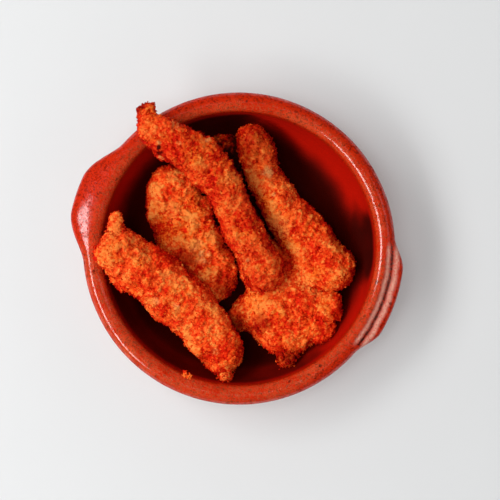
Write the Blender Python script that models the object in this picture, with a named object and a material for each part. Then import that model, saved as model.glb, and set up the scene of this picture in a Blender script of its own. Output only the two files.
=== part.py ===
"""Breaded chicken tenders heaped in a small glazed clay dish with two lug handles.

Lengths in the tables are millimetres, and MM turns them into metres. The dish stands on z = 0
with its axis on the origin, and its lugs lie along X. Five breaded strips lie in it: one on
the floor that widens into a broad lobed end, a short one beside it, one that leans on the
wall, one that bridges from the rim to the wall, and a long one on top that hangs over the rim.
"""

import math
from typing import NamedTuple

import bmesh
import bpy
from mathutils import Color, Vector, noise

MM = 0.001

# The dish
RIM_RADIUS = 90.0
DISH_HEIGHT = 42.0
RIM_HALF_WIDTH = 5.7
RIM_HALF_HEIGHT = 5.5
FOOT_RADIUS = 60.0
FLOOR_RADIUS = 47.0
FLOOR_TOP = 6.5
INNER_HEEL = (73.5, FLOOR_TOP)
OUTER_HEEL = (78.5, 2.0)
UNDER_RIM = (85.3, 30.5)
RIM_CENTRE = (RIM_RADIUS - RIM_HALF_WIDTH, DISH_HEIGHT - RIM_HALF_HEIGHT)
MOUTH_RADIUS = RIM_CENTRE[0] - RIM_HALF_WIDTH
DISH_SIDES = 64
WALL_STEPS = 7
RIM_STEPS = 9
RIM_START = -62.0
MERGE_DISTANCE = 0.001

# A lug swells out of the wall from its root up to its full reach, and any groove along its
# top leans towards the rim's crest
LUG_ROOT = 24.0
LUG_FULL = 33.0
GROOVE_LEAN = 0.6

# The cutter that shapes the strips to the dish reaches this far past it, in finer steps
CUTTER_MARGIN = 25.0
CUTTER_BOTTOM = -5.0
CUTTER_RIM_STEPS = 18
CUTTER_WALL_STEPS = 21

# The strips
CLEARANCE = 0.6
STRIP_RINGS = 36
STRIP_SIDES = 20
NUB_RINGS = 9
NUB_SIDES = 12
CAP_RINGS = 3
SPINE_SAMPLES = 60
LOOK_AHEAD = 0.05
SQUARENESS = 2.4
FLAT_BELLY = 0.85
END_ROUNDING = 0.95
LUMP_SIZE = 17.0
LUMP_HEIGHT = 2.6
CRAG_SIZE = 8.5
CRAG_HEIGHT = 3.4
CRAG_MEAN = 0.2
END_RELIEF = 0.35
SEED_SHIFT = (7.3, -3.1, 5.7)


class Lug(NamedTuple):
    """A clay lug: where it sits round the rim, its reach, how blunt it is and how it droops."""

    bearing: float
    reach: float
    half_angle: float
    bluntness: float
    droop: float
    groove: float


class Station(NamedTuple):
    """A place along a strip: the middle of its section, half its width, half its height."""

    x: float
    y: float
    z: float
    half_width: float
    half_height: float


class Strip(NamedTuple):
    """A breaded strip: its seed, its own spine, and the nubs and lobes that grow out of it."""

    seed: int
    spine: tuple
    nubs: tuple = ()


LUGS = (
    Lug(bearing=180.8, reach=9.2, half_angle=24.0, bluntness=0.25, droop=0.32, groove=0.0),
    Lug(bearing=0.5, reach=5.4, half_angle=23.0, bluntness=0.5, droop=0.1, groove=1.2),
)

STRIPS = {
    "tender_top": Strip(
        seed=3,
        spine=(
            Station(-78.3, 58.8, 48.0, 3.8, 4.2),
            Station(-71.6, 50.6, 48.0, 6.4, 6.5),
            Station(-61.0, 46.0, 49.0, 10.2, 8.5),
            Station(-45.4, 42.9, 46.5, 11.0, 9.0),
            Station(-29.7, 36.3, 43.0, 11.4, 9.5),
            Station(-15.8, 26.0, 40.0, 9.7, 9.3),
            Station(-5.4, 14.8, 37.5, 10.0, 9.3),
            Station(5.4, 4.4, 35.5, 10.7, 9.3),
            Station(15.8, -5.2, 33.0, 11.2, 9.0),
            Station(25.6, -16.0, 29.5, 9.2, 7.0),
        ),
        nubs=(
            (
                Station(-61.5, 44.5, 47.5, 5.0, 6.0),
                Station(-59.6, 39.0, 46.0, 5.0, 5.2),
                Station(-58.0, 32.5, 45.0, 3.2, 3.4),
            ),
        ),
    ),
    "tender_left": Strip(
        seed=11,
        spine=(
            Station(-75.4, -21.8, 46.5, 11.8, 7.0),
            Station(-62.3, -24.8, 43.0, 13.0, 9.0),
            Station(-44.6, -30.1, 37.5, 15.0, 10.5),
            Station(-24.8, -39.5, 32.0, 15.6, 11.0),
            Station(-5.8, -48.6, 28.0, 14.8, 11.0),
            Station(7.2, -57.4, 26.5, 12.8, 10.0),
            Station(17.2, -69.0, 28.5, 9.2, 8.0),
        ),
        nubs=(
            (
                Station(-64.5, -20.5, 44.0, 5.2, 6.5),
                Station(-69.6, -12.2, 46.0, 3.5, 4.2),
                Station(-73.6, -4.8, 47.0, 1.9, 2.4),
            ),
            (
                Station(-60.5, -28.5, 41.0, 6.2, 7.0),
                Station(-59.0, -38.0, 39.0, 4.8, 4.8),
                Station(-54.4, -45.2, 37.5, 2.6, 2.8),
            ),
            (
                Station(8.0, -60.0, 26.5, 5.6, 6.5),
                Station(14.0, -68.4, 28.0, 3.2, 3.8),
                Station(18.4, -73.6, 31.0, 1.6, 1.9),
            ),
        ),
    ),
    "tender_right": Strip(
        seed=23,
        spine=(
            Station(-19.6, 68.4, 31.5, 6.8, 6.2),
            Station(-10.7, 58.2, 27.0, 8.6, 8.0),
            Station(-1.8, 48.4, 24.0, 9.3, 8.5),
            Station(8.4, 38.4, 21.5, 10.8, 9.5),
            Station(19.8, 28.4, 19.5, 11.7, 10.0),
            Station(31.4, 19.8, 18.5, 13.5, 10.5),
            Station(43.6, 11.5, 18.5, 15.4, 11.0),
            Station(54.0, 2.8, 20.5, 14.2, 10.5),
            Station(60.4, -4.6, 22.5, 9.6, 8.0),
        ),
        nubs=(
            (
                Station(48.0, 12.0, 20.0, 7.0, 8.0),
                Station(55.3, 14.0, 20.5, 6.0, 6.5),
                Station(60.0, 11.5, 21.0, 3.6, 4.5),
            ),
        ),
    ),
    "tender_short": Strip(
        seed=37,
        spine=(
            Station(-55.2, 31.0, 18.5, 9.4, 7.5),
            Station(-49.0, 18.5, 16.5, 14.0, 9.5),
            Station(-41.0, 7.6, 15.5, 16.6, 10.5),
            Station(-31.0, -3.2, 15.5, 18.0, 10.8),
            Station(-19.6, -13.4, 15.3, 17.4, 10.5),
            Station(-8.2, -21.8, 15.0, 14.6, 10.0),
            Station(2.0, -30.2, 14.5, 9.2, 8.0),
        ),
        nubs=(
            (
                Station(-27.0, -2.0, 16.5, 7.0, 8.5),
                Station(-27.6, 11.0, 16.5, 6.4, 7.4),
                Station(-29.4, 22.0, 15.5, 4.2, 5.0),
            ),
        ),
    ),
    "tender_under": Strip(
        seed=51,
        spine=(
            Station(-29.8, 59.0, 21.0, 7.6, 6.5),
            Station(-21.8, 43.1, 16.5, 8.0, 8.0),
            Station(-13.9, 27.6, 15.0, 8.6, 9.0),
            Station(-3.3, 13.1, 15.0, 9.2, 9.0),
            Station(9.4, 1.2, 15.5, 11.5, 9.5),
            Station(23.6, -9.6, 16.0, 17.5, 10.0),
            Station(36.6, -20.6, 17.5, 22.0, 10.5),
            Station(42.0, -34.0, 18.5, 20.0, 10.0),
            Station(45.5, -49.5, 21.0, 11.0, 7.5),
        ),
        nubs=(
            (
                Station(36.0, -20.0, 17.5, 12.0, 9.5),
                Station(24.0, -30.0, 16.0, 13.0, 8.8),
                Station(14.6, -37.4, 14.0, 9.0, 6.6),
                Station(10.4, -41.6, 12.5, 4.6, 4.4),
            ),
            (
                Station(33.0, -27.0, 18.0, 10.0, 8.5),
                Station(32.5, -38.0, 16.5, 10.0, 7.6),
                Station(34.5, -47.0, 14.5, 6.6, 5.2),
            ),
            (
                Station(43.5, -41.0, 19.5, 7.0, 7.0),
                Station(47.2, -49.0, 21.5, 4.4, 4.4),
                Station(49.0, -55.2, 25.0, 2.4, 2.6),
            ),
            (
                Station(47.5, -15.5, 18.5, 11.0, 8.8),
                Station(59.4, -15.4, 21.5, 9.8, 7.6),
                Station(67.4, -14.0, 24.5, 6.4, 5.5),
            ),
            (
                Station(48.0, -24.0, 19.0, 11.5, 8.4),
                Station(60.0, -28.2, 21.5, 10.6, 6.8),
                Station(67.2, -31.0, 25.0, 6.6, 4.8),
            ),
            (
                Station(29.5, -19.5, 23.0, 4.4, 5.0),
                Station(36.5, -29.0, 24.6, 5.2, 5.6),
                Station(42.5, -39.0, 22.0, 3.8, 4.4),
            ),
        ),
    ),
}

# Each strip is cut clear of the ones that lie on it or press against it
PRESSED_BY = {
    "tender_top": (),
    "tender_left": (),
    "tender_right": (),
    "tender_short": ("tender_top", "tender_left"),
    "tender_under": ("tender_top", "tender_right", "tender_left", "tender_short"),
}

# The colour of each piece as red, green and blue out of 255, and its roughness
FINISHES = {
    "dish": ((189, 53, 26), 0.22),
    "tender_top": ((200, 60, 22), 0.75),
    "tender_left": ((222, 79, 31), 0.75),
    "tender_right": ((216, 70, 28), 0.75),
    "tender_short": ((222, 80, 30), 0.75),
    "tender_under": ((205, 61, 22), 0.75),
}


def clear_scene():
    """Remove what the scene starts with."""
    for thing in list(bpy.data.objects):
        bpy.data.objects.remove(thing)


def add_object(name, mesh):
    """Put a mesh into the scene as a smooth-shaded object."""
    mesh.shade_smooth()
    thing = bpy.data.objects.new(name, mesh)
    bpy.context.scene.collection.objects.link(thing)
    return thing


def dress(thing):
    """Give an object the material of its own name: its colour, roughness and no metal."""
    colour, roughness = FINISHES[thing.name]
    finish = bpy.data.materials.new(thing.name)
    finish.use_nodes = True
    shader = finish.node_tree.nodes["Principled BSDF"]
    linear = Color([part / 255.0 for part in colour]).from_srgb_to_scene_linear()
    shader.inputs["Base Color"].default_value = (*linear, 1.0)
    shader.inputs["Roughness"].default_value = roughness
    shader.inputs["Metallic"].default_value = 0.0
    thing.data.materials.clear()
    thing.data.materials.append(finish)


def mark_cutter(thing, name):
    """Mark an object as a helper that is no part of the model."""
    thing.name = name
    thing.hide_render = True
    thing.display_type = "WIRE"
    return thing


def ease(low, high, value):
    """Go smoothly from 0 at low to 1 at high."""
    share = min(1.0, max(0.0, (value - low) / (high - low)))
    return share * share * (3.0 - 2.0 * share)


def bend(start, control, end, steps):
    """List the points of a curve that leaves start towards control and arrives at end."""
    points = []
    for step in range(steps + 1):
        t = step / steps
        weights = ((1 - t) ** 2, 2 * t * (1 - t), t * t)
        points.append(
            tuple(sum(w * p[i] for w, p in zip(weights, (start, control, end))) for i in (0, 1))
        )
    return points


def arc(centre, half_width, half_height, first, last, steps):
    """List points round an oval of the section, from one angle to another in degrees."""
    points = []
    for step in range(steps + 1):
        angle = math.radians(first + (last - first) * step / steps)
        points.append(
            (centre[0] + half_width * math.cos(angle), centre[1] + half_height * math.sin(angle))
        )
    return points


def inside_wall(gap, steps):
    """List the section of the dish's inside, from the mouth down to the middle of the floor."""
    mouth = (MOUTH_RADIUS - gap, RIM_CENTRE[1])
    heel = (INNER_HEEL[0] - gap, INNER_HEEL[1] + gap)
    floor = (FLOOR_RADIUS, FLOOR_TOP + gap)
    return bend(mouth, heel, floor, steps) + [(0.0, FLOOR_TOP + gap)]


def dish_section():
    """List the dish's section from under its foot, up the outside and down the inside."""
    outside = bend((FOOT_RADIUS, 0.0), OUTER_HEEL, UNDER_RIM, WALL_STEPS)
    rim = arc(RIM_CENTRE, RIM_HALF_WIDTH, RIM_HALF_HEIGHT, RIM_START, 180.0, RIM_STEPS)
    inside = inside_wall(0.0, WALL_STEPS)
    return [(0.0, 0.0)] + outside[:-1] + rim + inside[1:]


def cutter_section():
    """List the section of a ring-shaped block that hugs the dish's floor, wall and rim."""
    gap = CLEARANCE * 0.5
    outer = RIM_RADIUS + CUTTER_MARGIN
    half_width = RIM_HALF_WIDTH + gap
    half_height = RIM_HALF_HEIGHT + gap
    rim = arc(RIM_CENTRE, half_width, half_height, RIM_START, 180.0, CUTTER_RIM_STEPS)
    block = [(0.0, CUTTER_BOTTOM), (outer, CUTTER_BOTTOM), (outer, rim[0][1])]
    return block + rim + inside_wall(gap, CUTTER_WALL_STEPS)[1:]


def turn(name, section):
    """Spin a section of (radius, height) points round the dish's axis into a solid."""
    shape = bmesh.new()
    verts = [shape.verts.new((radius * MM, 0.0, height * MM)) for radius, height in section]
    edges = [shape.edges.new(pair) for pair in zip(verts, verts[1:])]
    bmesh.ops.spin(
        shape,
        geom=verts + edges,
        axis=(0.0, 0.0, 1.0),
        cent=(0.0, 0.0, 0.0),
        steps=DISH_SIDES,
        angle=math.tau,
        use_merge=True,
    )
    bmesh.ops.remove_doubles(shape, verts=shape.verts, dist=MERGE_DISTANCE * MM)
    bmesh.ops.recalc_face_normals(shape, faces=shape.faces)
    mesh = bpy.data.meshes.new(name)
    shape.to_mesh(mesh)
    shape.free()
    return add_object(name, mesh)


def lug_share(radius, height):
    """Tell how much of a lug's reach shows at a place on the dish's section."""
    if radius < MOUTH_RADIUS + CLEARANCE:
        return 0.0
    over_crest = 1.0
    if height > RIM_CENTRE[1]:
        over_crest = ease(RIM_CENTRE[0], RIM_RADIUS - CLEARANCE, radius)
    return ease(LUG_ROOT, LUG_FULL, height) * over_crest


def swell_lugs(dish):
    """Push the outside of the rim out and down into the lugs, one with a groove on top."""
    for vertex in dish.data.vertices:
        x, y, z = vertex.co / MM
        radius = math.hypot(x, y)
        share = lug_share(radius, z)
        if share == 0.0:
            continue
        for lug in LUGS:
            bearing = math.degrees(math.atan2(y, x)) - lug.bearing
            aside = abs((bearing + 180.0) % 360.0 - 180.0) / lug.half_angle
            spread = 1.0 - ease(lug.bluntness, 1.0, aside)
            out = lug.reach * spread * share
            on_top = math.sin(math.pi * share**GROOVE_LEAN) if z > RIM_CENTRE[1] else 0.0
            grown = 1.0 + out / radius
            x, y, z = x * grown, y * grown, z - lug.droop * out - lug.groove * spread * on_top
        vertex.co = Vector((x, y, z)) * MM


def make_dish():
    """Turn the dish and swell its lugs."""
    dish = turn("dish", dish_section())
    swell_lugs(dish)
    dress(dish)


def along(stations, where):
    """Read a smooth curve through the stations, where 1.5 is half way from the second on."""
    last = len(stations) - 1
    index = min(int(where), last - 1)
    t = where - index
    weights = (
        (-t + 2 * t**2 - t**3) / 2,
        (2 - 5 * t**2 + 3 * t**3) / 2,
        (t + 4 * t**2 - 3 * t**3) / 2,
        (-(t**2) + t**3) / 2,
    )
    around = [stations[min(max(index + step, 0), last)] for step in (-1, 0, 1, 2)]
    return Station(*(sum(w * v for w, v in zip(weights, values)) for values in zip(*around)))


def middle(station):
    """Give the middle of a station's section."""
    return Vector((station.x, station.y, station.z))


def section_corner(angle):
    """Give the corner of a squarish section with a flatter belly, of half size 1."""
    power = 2.0 / SQUARENESS
    across = math.copysign(abs(math.cos(angle)) ** power, math.cos(angle))
    up = math.copysign(abs(math.sin(angle)) ** power, math.sin(angle))
    return across, up if up > 0.0 else up * FLAT_BELLY


def relief(place, seed):
    """Give the height of the crust's lumps and crags at a place."""
    shift = Vector(SEED_SHIFT) * seed
    lumps = noise.noise(place / LUMP_SIZE + shift)
    crags = abs(noise.noise(place / CRAG_SIZE - shift)) - CRAG_MEAN
    return LUMP_HEIGHT * lumps + CRAG_HEIGHT * crags


def ring_places(stations, rings):
    """List each ring's share of the way along a strip, and how far a round end closes it."""
    last = len(stations) - 1
    walk = [middle(along(stations, last * i / SPINE_SAMPLES)) for i in range(SPINE_SAMPLES + 1)]
    length = sum((after - before).length for before, after in zip(walk, walk[1:]))
    head = END_ROUNDING * stations[0].half_width / length
    tail = END_ROUNDING * stations[-1].half_width / length
    angles = [math.pi / 2 * step / CAP_RINGS for step in range(CAP_RINGS)]
    between = rings - 2 * CAP_RINGS - 1
    places = [(head * (1.0 - math.cos(angle)), math.sin(angle)) for angle in angles]
    places += [(head + (1.0 - head - tail) * i / between, 1.0) for i in range(between + 1)]
    places += [(1.0 - tail * (1.0 - math.cos(a)), math.sin(a)) for a in reversed(angles)]
    return places


def strip_rings(stations, rings, sides, seed, grow):
    """List the rings of points of a strip, with a single point at each tip."""
    last = len(stations) - 1
    found = []
    for share, closing in ring_places(stations, rings):
        here = along(stations, last * share)
        ahead = middle(along(stations, min(last, last * share + LOOK_AHEAD)))
        behind = middle(along(stations, max(0.0, last * share - LOOK_AHEAD)))
        forward = (ahead - behind).normalized()
        centre = middle(here)
        if closing == 0.0:
            found.append([centre + forward * grow * (1.0 if found else -1.0)])
            continue
        aside = forward.cross(Vector((0, 0, 1))).normalized() * here.half_width * closing
        above = aside.cross(forward).normalized() * here.half_height * closing
        row = []
        for side in range(sides):
            across, up = section_corner(math.tau * side / sides)
            arm = aside * across + above * up
            rough = relief(centre + arm, seed) * (END_RELIEF + (1.0 - END_RELIEF) * closing)
            row.append(centre + arm + arm.normalized() * (rough + grow))
        found.append(row)
    return found


def make_strip(name, stations, rings, sides, seed, grow):
    """Skin the rings of a strip into a closed mesh."""
    skin = strip_rings(stations, rings, sides, seed, grow)
    points = [point * MM for row in skin for point in row]
    tail = len(points) - 1
    faces = []
    for side in range(sides):
        after = (side + 1) % sides
        faces.append((0, 1 + side, 1 + after))
        faces.append((tail, tail - sides + after, tail - sides + side))
        for low in range(1, tail - sides, sides):
            high = low + sides
            faces.append((low + side, high + side, high + after))
            faces.append((low + side, high + after, low + after))
    mesh = bpy.data.meshes.new(name)
    mesh.from_pydata(points, [], faces)
    return add_object(name, mesh)


def apply_modifiers(thing):
    """Keep the mesh that an object's modifiers make, and drop the modifiers."""
    graph = bpy.context.evaluated_depsgraph_get()
    made = bpy.data.meshes.new_from_object(thing.evaluated_get(graph))
    thing.modifiers.clear()
    thing.data = made
    thing.data.shade_smooth()


def make_tender(name, grow):
    """Make a strip with its nubs fused on, larger all round by grow."""
    strip = STRIPS[name]
    body = make_strip(name, strip.spine, STRIP_RINGS, STRIP_SIDES, strip.seed, grow)
    nubs = bpy.data.collections.new("nubs")
    bpy.context.scene.collection.children.link(nubs)
    for index, stations in enumerate(strip.nubs):
        nub = make_strip("nub", stations, NUB_RINGS, NUB_SIDES, strip.seed + index, grow)
        bpy.context.scene.collection.objects.unlink(nub)
        nubs.objects.link(nub)
    fuse = body.modifiers.new("fuse_nubs", "BOOLEAN")
    fuse.operation = "UNION"
    fuse.operand_type = "COLLECTION"
    fuse.collection = nubs
    fuse.solver = "EXACT"
    apply_modifiers(body)
    for nub in list(nubs.objects):
        bpy.data.objects.remove(nub)
    bpy.data.collections.remove(nubs)
    return body


def cut_clear(thing, cutter):
    """Cut an object clear of what it lies against."""
    cut = thing.modifiers.new("clear_of_" + cutter.name, "BOOLEAN")
    cut.operation = "DIFFERENCE"
    cut.object = cutter
    cut.solver = "EXACT"


def main():
    """Build the dish, then the strips, each cut clear of the dish and of what presses on it."""
    clear_scene()
    make_dish()
    dish_cutter = mark_cutter(turn("dish_cutter", cutter_section()), "dish_cutter")
    pressing = sorted({other for presses in PRESSED_BY.values() for other in presses})
    cutters = {}
    for name in pressing:
        cutters[name] = mark_cutter(make_tender(name, CLEARANCE), name + "_cutter")
    for name, presses in PRESSED_BY.items():
        tender = make_tender(name, 0.0)
        dress(tender)
        cut_clear(tender, dish_cutter)
        for other in presses:
            cut_clear(tender, cutters[other])


main()
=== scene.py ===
"""The looks of chicken tenders heaped in a small glazed clay dish with two lugs.

Lengths in the classes are millimetres, and MM turns them into metres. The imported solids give
where each strip lies. Every strip gets a crumb crust grown over its own solid, with crumbs
stuck to it, and the dish is turned again from its section, finer and with its glaze.
"""

from __future__ import annotations

import itertools
import logging
import math
from dataclasses import dataclass, field
from enum import Enum

import bpy
import numpy as np
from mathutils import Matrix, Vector, kdtree

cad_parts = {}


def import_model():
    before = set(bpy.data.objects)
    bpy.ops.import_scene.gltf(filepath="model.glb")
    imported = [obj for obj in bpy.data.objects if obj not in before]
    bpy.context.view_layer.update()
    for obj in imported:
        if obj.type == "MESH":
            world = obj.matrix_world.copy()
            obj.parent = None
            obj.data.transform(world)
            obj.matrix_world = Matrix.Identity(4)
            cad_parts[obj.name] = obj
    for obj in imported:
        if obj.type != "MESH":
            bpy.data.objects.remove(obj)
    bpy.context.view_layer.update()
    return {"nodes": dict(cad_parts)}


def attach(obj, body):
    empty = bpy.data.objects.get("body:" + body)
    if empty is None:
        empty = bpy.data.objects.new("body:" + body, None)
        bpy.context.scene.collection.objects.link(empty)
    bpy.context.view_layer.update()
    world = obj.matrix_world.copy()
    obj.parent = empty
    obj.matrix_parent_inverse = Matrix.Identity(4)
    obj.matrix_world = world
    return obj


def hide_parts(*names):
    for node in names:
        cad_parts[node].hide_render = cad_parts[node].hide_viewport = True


LOG = logging.getLogger("tenders")
MM = 0.001
BODY = "root"

# A Mix node's colour sockets share their names with its number sockets
MIX_FIRST = 6
MIX_SECOND = 7
MIX_RESULT = 2

# How soft_noise turns a cell of space into a random value
NOISE_OFFSET = 0.37
NOISE_SEED_STEP = 7919
NOISE_PRIMES = (73856093, 19349663, 83492791)
NOISE_MIXES = ((16, 0x45D9F3B), (15, 0x2C1B3C6D))
NOISE_MASK = np.uint64(0xFFFFFFFF)

Colour = tuple[float, float, float]
Span = tuple[float, float]


class Slot(Enum):
    """The record's material slots."""

    CLAY = "glazed_clay"
    CRUMB = "crumb_coat"


class Tint(Enum):
    """What a patch of crust shows, by the name of the value that its corners keep."""

    GOLD = "gold"
    BARE = "bare"
    BURNT_AND_SHADE = "burnt_and_shade"


class Reach(Enum):
    """What a lamp adds to: the even light on every surface, or the highlights alone."""

    MATT = "matt"
    GLOSS = "gloss"


def paint(red: float, green: float, blue: float) -> Colour:
    """Turn a screen colour, each part out of 255, into the linear colour that shaders take."""
    parts = [part / 255.0 for part in (red, green, blue)]
    return tuple(p / 12.92 if p <= 0.04045 else ((p + 0.055) / 1.055) ** 2.4 for p in parts)


def ease(low: float, high: float, values: np.ndarray) -> np.ndarray:
    """Go smoothly from 0 where the values are low to 1 where they are high."""
    share = np.clip((values - low) / (high - low), 0.0, 1.0)
    return share * share * (3.0 - 2.0 * share)


def hump(middle: float, half_width: float, values: np.ndarray) -> np.ndarray:
    """Give a smooth hump that is 1 at its middle and 0 past half its width."""
    return 1.0 - ease(0.0, half_width, np.abs(values - middle))


def soft_noise(points: np.ndarray, size: float, seed: int) -> np.ndarray:
    """Read smooth random values over space.

    Args:
        points: The places, one row each.
        size: How far apart the random values lie.
        seed: Which field of values is read.

    Returns:
        A value from -1 to 1 for each place.
    """
    place = points / size + NOISE_OFFSET * seed
    cell = np.floor(place).astype(np.int64)
    share = ease(0.0, 1.0, place - cell)
    primes = np.array(NOISE_PRIMES)[: points.shape[1]]
    total = np.zeros(len(points))
    for corner in itertools.product((0, 1), repeat=points.shape[1]):
        key = ((cell + np.array(corner)) * primes).sum(axis=1) + seed * NOISE_SEED_STEP
        key = key.astype(np.uint64) & NOISE_MASK
        for shift, factor in NOISE_MIXES:
            key = ((key ^ (key >> np.uint64(shift))) * np.uint64(factor)) & NOISE_MASK
        value = (key >> np.uint64(8)).astype(float) / 0x7FFFFF - 1.0
        total += value * np.prod(np.where(np.array(corner) == 1, share, 1.0 - share), axis=1)
    return total


def bend(start: tuple, control: tuple, end: tuple, steps: int) -> np.ndarray:
    """List the points of a curve that leaves start towards control and arrives at end.

    Args:
        start: The first point.
        control: The point that both ends head for.
        end: The last point.
        steps: How many steps the curve takes.

    Returns:
        The points, one row each.
    """
    t = np.linspace(0.0, 1.0, steps + 1)[:, None]
    ends = np.array(start) * (1 - t) ** 2 + np.array(end) * t**2
    return ends + np.array(control) * 2 * t * (1 - t)


def unit(rows: np.ndarray) -> np.ndarray:
    """Give each row the length 1."""
    return rows / np.linalg.norm(rows, axis=1)[:, None]


def polar(points: np.ndarray) -> tuple[np.ndarray, np.ndarray]:
    """Tell how far points lie from the dish's axis, and on which bearings, in degrees."""
    return np.hypot(points[:, 0], points[:, 1]), np.degrees(np.arctan2(points[:, 1], points[:, 0]))


def aside(bearings: np.ndarray, middle: float) -> np.ndarray:
    """Tell how many degrees bearings lie to either side of a middle one."""
    return np.abs((bearings - middle + 180.0) % 360.0 - 180.0)


def show(name: str, data: bpy.types.ID) -> bpy.types.Object:
    """Put an object into the scene.

    Args:
        name: The object's name.
        data: Its mesh, light or camera.

    Returns:
        The new object.
    """
    thing = bpy.data.objects.new(name, data)
    bpy.context.scene.collection.objects.link(thing)
    return thing


def make_piece(name: str, points: np.ndarray, faces: list) -> bpy.types.Object:
    """Make an object of the scene from points in millimetres and faces.

    Args:
        name: The piece's name.
        points: The corners, one row each, in millimetres.
        faces: The corners of each face.

    Returns:
        The new object.
    """
    mesh = bpy.data.meshes.new(name)
    mesh.from_pydata((points * MM).tolist(), [], faces)
    mesh.update()
    return show(name, mesh)


def read_mesh(mesh: bpy.types.Mesh) -> tuple[np.ndarray, np.ndarray]:
    """Read a mesh's corners in millimetres, and the way out of the surface at each.

    Args:
        mesh: The mesh.

    Returns:
        The corners and their normals, one row each.
    """
    points, normals = (np.empty(3 * len(mesh.vertices), np.float32) for _ in range(2))
    mesh.vertices.foreach_get("co", points)
    mesh.vertex_normals.foreach_get("vector", normals)
    return points.reshape(-1, 3).astype(float) / MM, normals.reshape(-1, 3).astype(float)


def move_corners(mesh: bpy.types.Mesh, points: np.ndarray) -> None:
    """Put a mesh's corners at new places, one row each, in millimetres."""
    mesh.vertices.foreach_set("co", (points * MM).astype(np.float32).ravel())
    mesh.update()


def note(piece: bpy.types.Object, values: dict[str, np.ndarray]) -> None:
    """Keep values for each corner of a piece, for its material to read.

    Args:
        piece: The piece.
        values: An array for each name, with one number for each corner.
    """
    for name, array in values.items():
        attribute = piece.data.attributes.new(name, "FLOAT", "POINT")
        attribute.data.foreach_set("value", array.astype(np.float32))


def settle(piece: bpy.types.Object, node: str | None = None) -> None:
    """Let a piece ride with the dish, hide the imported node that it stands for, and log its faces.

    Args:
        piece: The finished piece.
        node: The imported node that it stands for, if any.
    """
    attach(piece, BODY)
    if node is not None:
        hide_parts(node)
    LOG.info("%s: %d faces", piece.name, len(piece.data.polygons))


@dataclass
class Wiring:
    """The nodes of one shader tree or group, and the links between them."""

    tree: bpy.types.NodeTree

    def add(self, kind: str, **settings: object) -> bpy.types.Node:
        """Add a node.

        Args:
            kind: The node's type, without its ShaderNode prefix.
            **settings: The node's own properties.

        Returns:
            The new node.
        """
        node = self.tree.nodes.new("ShaderNode" + kind)
        for name, value in settings.items():
            setattr(node, name, value)
        return node

    def feed(self, socket: bpy.types.NodeSocket, source: object) -> None:
        """Link a source to a socket, or set the socket to a number or a colour.

        Args:
            socket: The socket that is fed.
            source: Another node's output, a number, or a colour.
        """
        if isinstance(source, bpy.types.NodeSocket):
            self.tree.links.new(source, socket)
        elif socket.type == "RGBA":
            socket.default_value = (*source, 1.0)
        else:
            socket.default_value = source

    def use(self, group: bpy.types.NodeTree, **sources: object) -> bpy.types.Node:
        """Place a node group and feed its inputs.

        Args:
            group: The group.
            **sources: What feeds each input, by the input's name.

        Returns:
            The group's node.
        """
        node = self.add("Group")
        node.node_tree = group
        for name, source in sources.items():
            self.feed(node.inputs[name], source)
        return node

    def value(self, name: str) -> bpy.types.NodeSocket:
        """Read one of the values that the mesh keeps for its corners."""
        return self.add("Attribute", attribute_name=name).outputs["Fac"]

    def noise(self, scale: object, detail: float, roughness: float) -> bpy.types.NodeSocket:
        """Read noise that stays where it is on the object.

        Args:
            scale: How fine it is, as cells in a metre.
            detail: How many finer layers it has.
            roughness: How strong those are.

        Returns:
            The noise, about 0.5 on average.
        """
        node = self.add("TexNoise")
        self.feed(node.inputs["Vector"], self.add("TexCoord").outputs["Object"])
        for name, value in zip(("Scale", "Detail", "Roughness"), (scale, detail, roughness)):
            self.feed(node.inputs[name], value)
        return node.outputs["Fac"]

    def maths(self, kind: str, first: object, second: object) -> bpy.types.NodeSocket:
        """Work out one number from two.

        Args:
            kind: The operation's name.
            first: The first number or its source.
            second: The second number or its source.

        Returns:
            The result.
        """
        node = self.add("Math", operation=kind)
        self.feed(node.inputs[0], first)
        self.feed(node.inputs[1], second)
        return node.outputs[0]

    def total(self, *parts: tuple[object, float]) -> bpy.types.NodeSocket:
        """Add up sources, each with its own weight.

        Args:
            *parts: Each source and its weight.

        Returns:
            The sum.
        """
        result: object = 0.0
        for source, weight in parts:
            result = self.maths("ADD", self.times(source, weight), result)
        return result

    def times(self, first: object, second: object) -> bpy.types.NodeSocket:
        """Multiply two numbers."""
        return self.maths("MULTIPLY", first, second)

    def mask(self, group: bpy.types.NodeTree, **sources: object) -> bpy.types.NodeSocket:
        """Place a node group and read its mask."""
        return self.use(group, **sources).outputs["Mask"]

    def spread(
        self, source: object, low: object, high: object, to: Span = (0.0, 1.0)
    ) -> bpy.types.NodeSocket:
        """Stretch the values between low and high over another range, with soft ends.

        Args:
            source: What is read.
            low: The value that gives the first number of the range.
            high: The value that gives the second.
            to: The range.

        Returns:
            The stretched values.
        """
        node = self.add("MapRange", interpolation_type="SMOOTHSTEP")
        names = ("Value", "From Min", "From Max", "To Min", "To Max")
        for name, value in zip(names, (source, low, high, *to)):
            self.feed(node.inputs[name], value)
        return node.outputs["Result"]

    def blend(self, share: object, first: object, second: object) -> bpy.types.NodeSocket:
        """Go from one colour to another.

        Args:
            share: How far it goes, from 0 to 1.
            first: The colour at 0.
            second: The colour at 1.

        Returns:
            The blended colour.
        """
        node = self.add("Mix", data_type="RGBA")
        self.feed(node.inputs[0], share)
        self.feed(node.inputs[MIX_FIRST], first)
        self.feed(node.inputs[MIX_SECOND], second)
        return node.outputs[MIX_RESULT]

    def ramp(self, source: object, stops: tuple[tuple[float, Colour], ...]) -> bpy.types.NodeSocket:
        """Turn a number into a colour by a row of stops.

        Args:
            source: The number, from 0 to 1.
            stops: Each stop's place and colour, from low to high.

        Returns:
            The colour.
        """
        node = self.add("ValToRGB")
        self.feed(node.inputs["Fac"], source)
        elements = node.color_ramp.elements
        while len(elements) < len(stops):
            elements.new(0.5)
        for element, (place, colour) in zip(elements, stops):
            element.position = place
            element.color = (*colour, 1.0)
        return node.outputs["Color"]


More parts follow.
